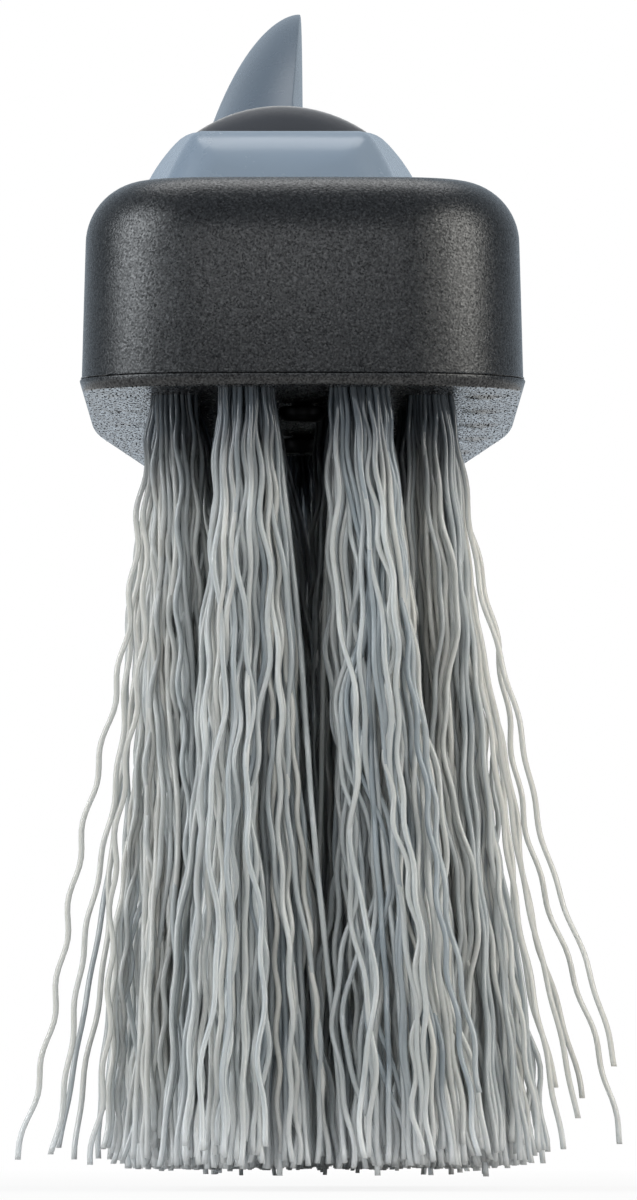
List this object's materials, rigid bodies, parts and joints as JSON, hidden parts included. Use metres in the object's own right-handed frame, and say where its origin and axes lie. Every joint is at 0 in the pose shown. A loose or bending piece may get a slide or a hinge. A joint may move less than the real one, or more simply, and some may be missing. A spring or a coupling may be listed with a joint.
{
  "type": "snow brush with ice scraper",
  "caption": "Hand snow brush with crimped bristle tufts in a moulded block, a neck, a soft grip on a tube, and a wide riveted ice scraper blade at the far end.",
  "frame": {"origin": "middle of the flat back of the brush block, above the middle of the tuft field", "axes": "+Z out of the back of the block, away from the bristles; +Y along the handle towards the scraper; +X to the right seen from the toe of the brush"},
  "size_m": [0.0451, 0.5018, 0.1466],
  "materials": {
    "black_plastic": "fine spark-eroded texture",
    "grey_plastic": "gloss",
    "soft_grip": "matte",
    "filament": "crimped, semi-matte",
    "alloy": "anodised",
    "steel": "zinc plated",
    "black_steel": "black oxide"
  },
  "bodies": {
    "root": {"block_cover": "black_plastic", "base_plate": "black_plastic", "bristle_row_1": "filament", "bristle_row_2": "filament", "bristle_row_3": "filament", "bristle_row_4": "filament", "plate_screw_1": "black_steel", "plate_screw_2": "black_steel", "plate_screw_3": "black_steel", "neck": "grey_plastic", "neck_screw_1": "steel", "neck_screw_2": "steel", "neck_pin": "steel", "handle_tube": "alloy", "grip": "soft_grip", "scraper_head": "grey_plastic", "head_pin": "steel", "scraper_blade": "grey_plastic", "blade_rivet_1": "steel", "blade_rivet_2": "steel", "blade_rivet_3": "steel"}
  },
  "joints": []
}
